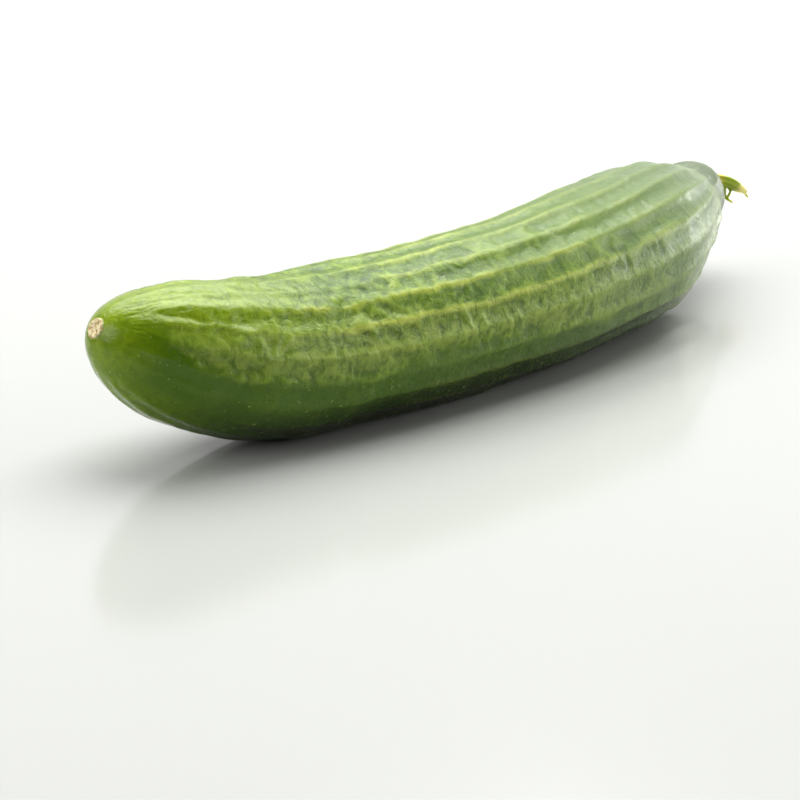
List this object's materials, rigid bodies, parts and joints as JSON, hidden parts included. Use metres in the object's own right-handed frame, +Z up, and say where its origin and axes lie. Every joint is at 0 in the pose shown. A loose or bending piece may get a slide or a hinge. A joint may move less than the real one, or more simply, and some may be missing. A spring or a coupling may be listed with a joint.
{
  "type": "cucumber",
  "caption": "Whole ribbed cucumber lying on its side, gently bent, with a blunt scarred blossom end and a torn stalk stub.",
  "frame": {"origin": "bottom centre of the bounding box, on the surface that the cucumber lies on", "axes": "+X from the blossom end to the stalk end along the longest extent, +Y towards the hollow side of the bend, +Z up"},
  "size_m": [0.2946, 0.0664, 0.0491],
  "materials": {
    "skin": "waxy green skin with lighter ribs, satin to glossy",
    "stalk": "torn fibrous green and yellow stalk"
  },
  "bodies": {
    "root": {"fruit": "skin", "stem_stub": "stalk"}
  },
  "joints": []
}
